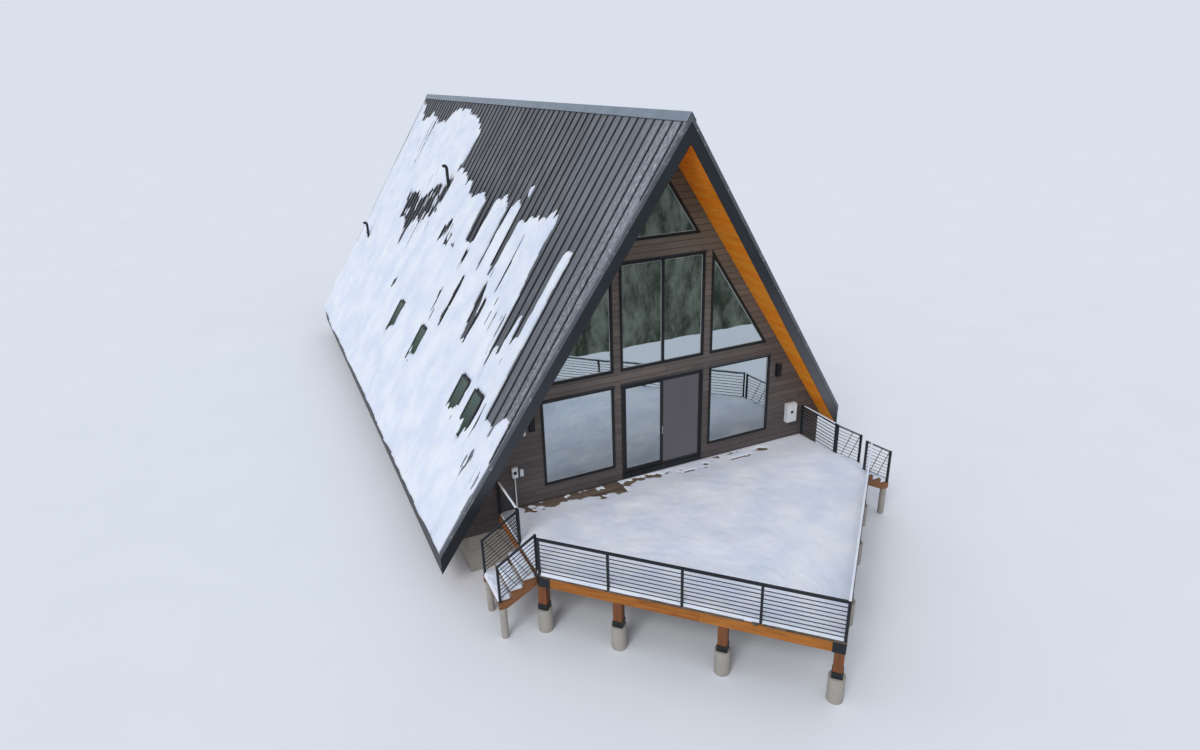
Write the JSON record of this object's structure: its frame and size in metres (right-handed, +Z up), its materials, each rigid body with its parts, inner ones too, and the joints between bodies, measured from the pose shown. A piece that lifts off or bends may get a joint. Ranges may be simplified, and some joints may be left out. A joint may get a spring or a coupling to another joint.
{
  "type": "a-frame cabin",
  "caption": "Steep gabled cabin with metal roof slopes down to the ground, a glazed front gable with a sliding door, and a railed timber deck that ends in a point.",
  "frame": {"origin": "middle of the underside of the front foundation wall, at the lowest point of the ground", "axes": "+X along the front gable to the right as seen from the deck, +Y into the cabin along the ridge, +Z up; the front gable with its deck faces -Y"},
  "size_m": [11.5025, 29.4778, 10.4138],
  "materials": {
    "concrete": "rough cast concrete",
    "framing": "rough framing timber",
    "siding": "brown stained lap boards",
    "roof_metal": "matt charcoal coating",
    "cap_metal": "grey coating",
    "soffit": "orange stained boards",
    "fascia": "near black paint",
    "edge_metal": "dark coating",
    "frame_black": "satin black",
    "glass": "clear insulating glass",
    "screen": "dark insect mesh",
    "deck_wood": "weathered red-brown boards",
    "rim_wood": "orange-brown stain",
    "steel_black": "black powder coat",
    "box_plastic": "light grey"
  },
  "bodies": {
    "cabin": {"foundation": "concrete", "main_floor": "framing", "upper_floors": "framing", "knee_wall": "siding", "front_wall": "siding", "back_wall": "siding", "front_siding": "siding", "roof_core_left": "framing", "roof_core_right": "framing", "roof_metal_left": "roof_metal", "roof_metal_right": "roof_metal", "ridge_cap": "cap_metal", "soffits": "soffit", "rake_fascias": "fascia", "rake_trims": "edge_metal", "eave_fascias": "fascia", "skylight_frames": "edge_metal", "skylight_glass": "glass", "front_window_frames": "frame_black", "front_window_glass": "glass", "back_window_frames": "frame_black", "back_window_glass": "glass", "door_frame": "frame_black", "door_fixed_panel": "frame_black", "deck_boards": "deck_wood", "deck_rim": "rim_wood", "deck_joists": "framing", "deck_posts": "rim_wood", "deck_piers": "concrete", "deck_brackets": "steel_black", "rail_left_edge": "steel_black", "rail_front_left": "steel_black", "rail_front_right": "steel_black", "rail_right_edge": "steel_black", "stair_left": "deck_wood", "stair_right": "deck_wood", "stair_left_rails": "steel_black", "stair_right_rails": "steel_black", "wall_sconces": "steel_black", "service_boxes": "box_plastic", "roof_vents": "edge_metal"},
    "door_panel": {"door_slider": "frame_black", "door_slider_glass": "glass"},
    "insect_screen": {"door_screen": "screen"}
  },
  "joints": [
    {"name": "door_slide", "type": "slide", "parent": "cabin", "child": "door_panel", "axis": [-1, 0, 0], "range_m": [0, 1.035]},
    {"name": "screen_slide", "type": "slide", "parent": "cabin", "child": "insect_screen", "axis": [-1, 0, 0], "range_m": [0, 1.035]}
  ]
}
